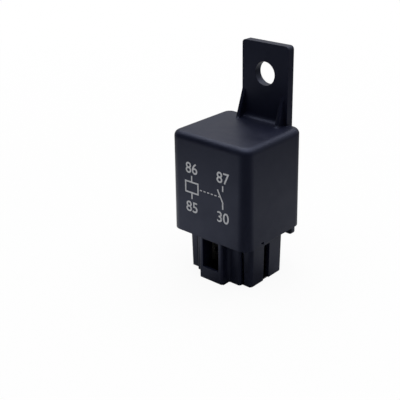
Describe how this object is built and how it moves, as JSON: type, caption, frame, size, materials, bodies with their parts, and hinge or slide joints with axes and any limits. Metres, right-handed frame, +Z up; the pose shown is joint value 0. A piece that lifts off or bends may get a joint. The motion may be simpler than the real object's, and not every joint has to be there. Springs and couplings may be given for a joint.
{
  "type": "automotive relay",
  "caption": "Black plug-in automotive relay: drafted box cover with a gusseted screw tab, shrouded socket with latch box and blades, coil and hinged armature inside.",
  "frame": {"origin": "centre of the part's box, at its lowest plane, which is the rim of the plug shroud", "axes": "+Z up along the mounting tab, away from the blades; -Y out of the front face and the latch box; the tab stands at the rear, on the +Y side"},
  "size_m": [0.0264, 0.0244, 0.0619],
  "materials": {
    "cover_plastic": "fine-grained matte black plastic, faint blue cast",
    "base_plastic": "matte black plastic, smoother than the cover",
    "terminal_metal": "tinned brass, stamped",
    "bobbin_plastic": "natural nylon",
    "copper_wire": "enamelled copper",
    "insulating_tape": "yellow polyester tape",
    "soft_iron": "nickel-flashed soft iron",
    "plated_steel": "zinc-plated steel",
    "spring_bronze": "rolled phosphor bronze",
    "contact_silver": "silver alloy",
    "copper_braid": "bare copper braid",
    "resistor_coat": "lacquered ceramic",
    "tinned_wire": "tinned copper wire"
  },
  "bodies": {
    "housing": {"cover": "cover_plastic", "base": "base_plastic", "terminal_30": "terminal_metal", "terminal_87": "terminal_metal", "terminal_85": "terminal_metal", "terminal_86": "terminal_metal", "bobbin": "bobbin_plastic", "winding": "copper_wire", "coil_tape": "insulating_tape", "coil_leads": "copper_wire", "core": "soft_iron", "yoke": "plated_steel", "fixed_contact": "contact_silver", "backstop": "spring_bronze", "return_spring": "plated_steel", "braid": "copper_braid", "suppression_resistor": "resistor_coat", "resistor_leads": "tinned_wire"},
    "armature": {"armature": "soft_iron", "contact_spring": "spring_bronze", "spring_rivets": "plated_steel", "moving_contact": "contact_silver"}
  },
  "joints": [
    {"name": "armature_hinge", "type": "hinge", "parent": "housing", "child": "armature", "pos_m": [0.0009, 0.0081, 0.03475], "axis": [1, 0, 0], "range_deg": [0, 2.2], "stiffness_Nm_per_rad": 0.003, "springref_deg": -17.19, "deforming": ["return_spring"]}
  ]
}
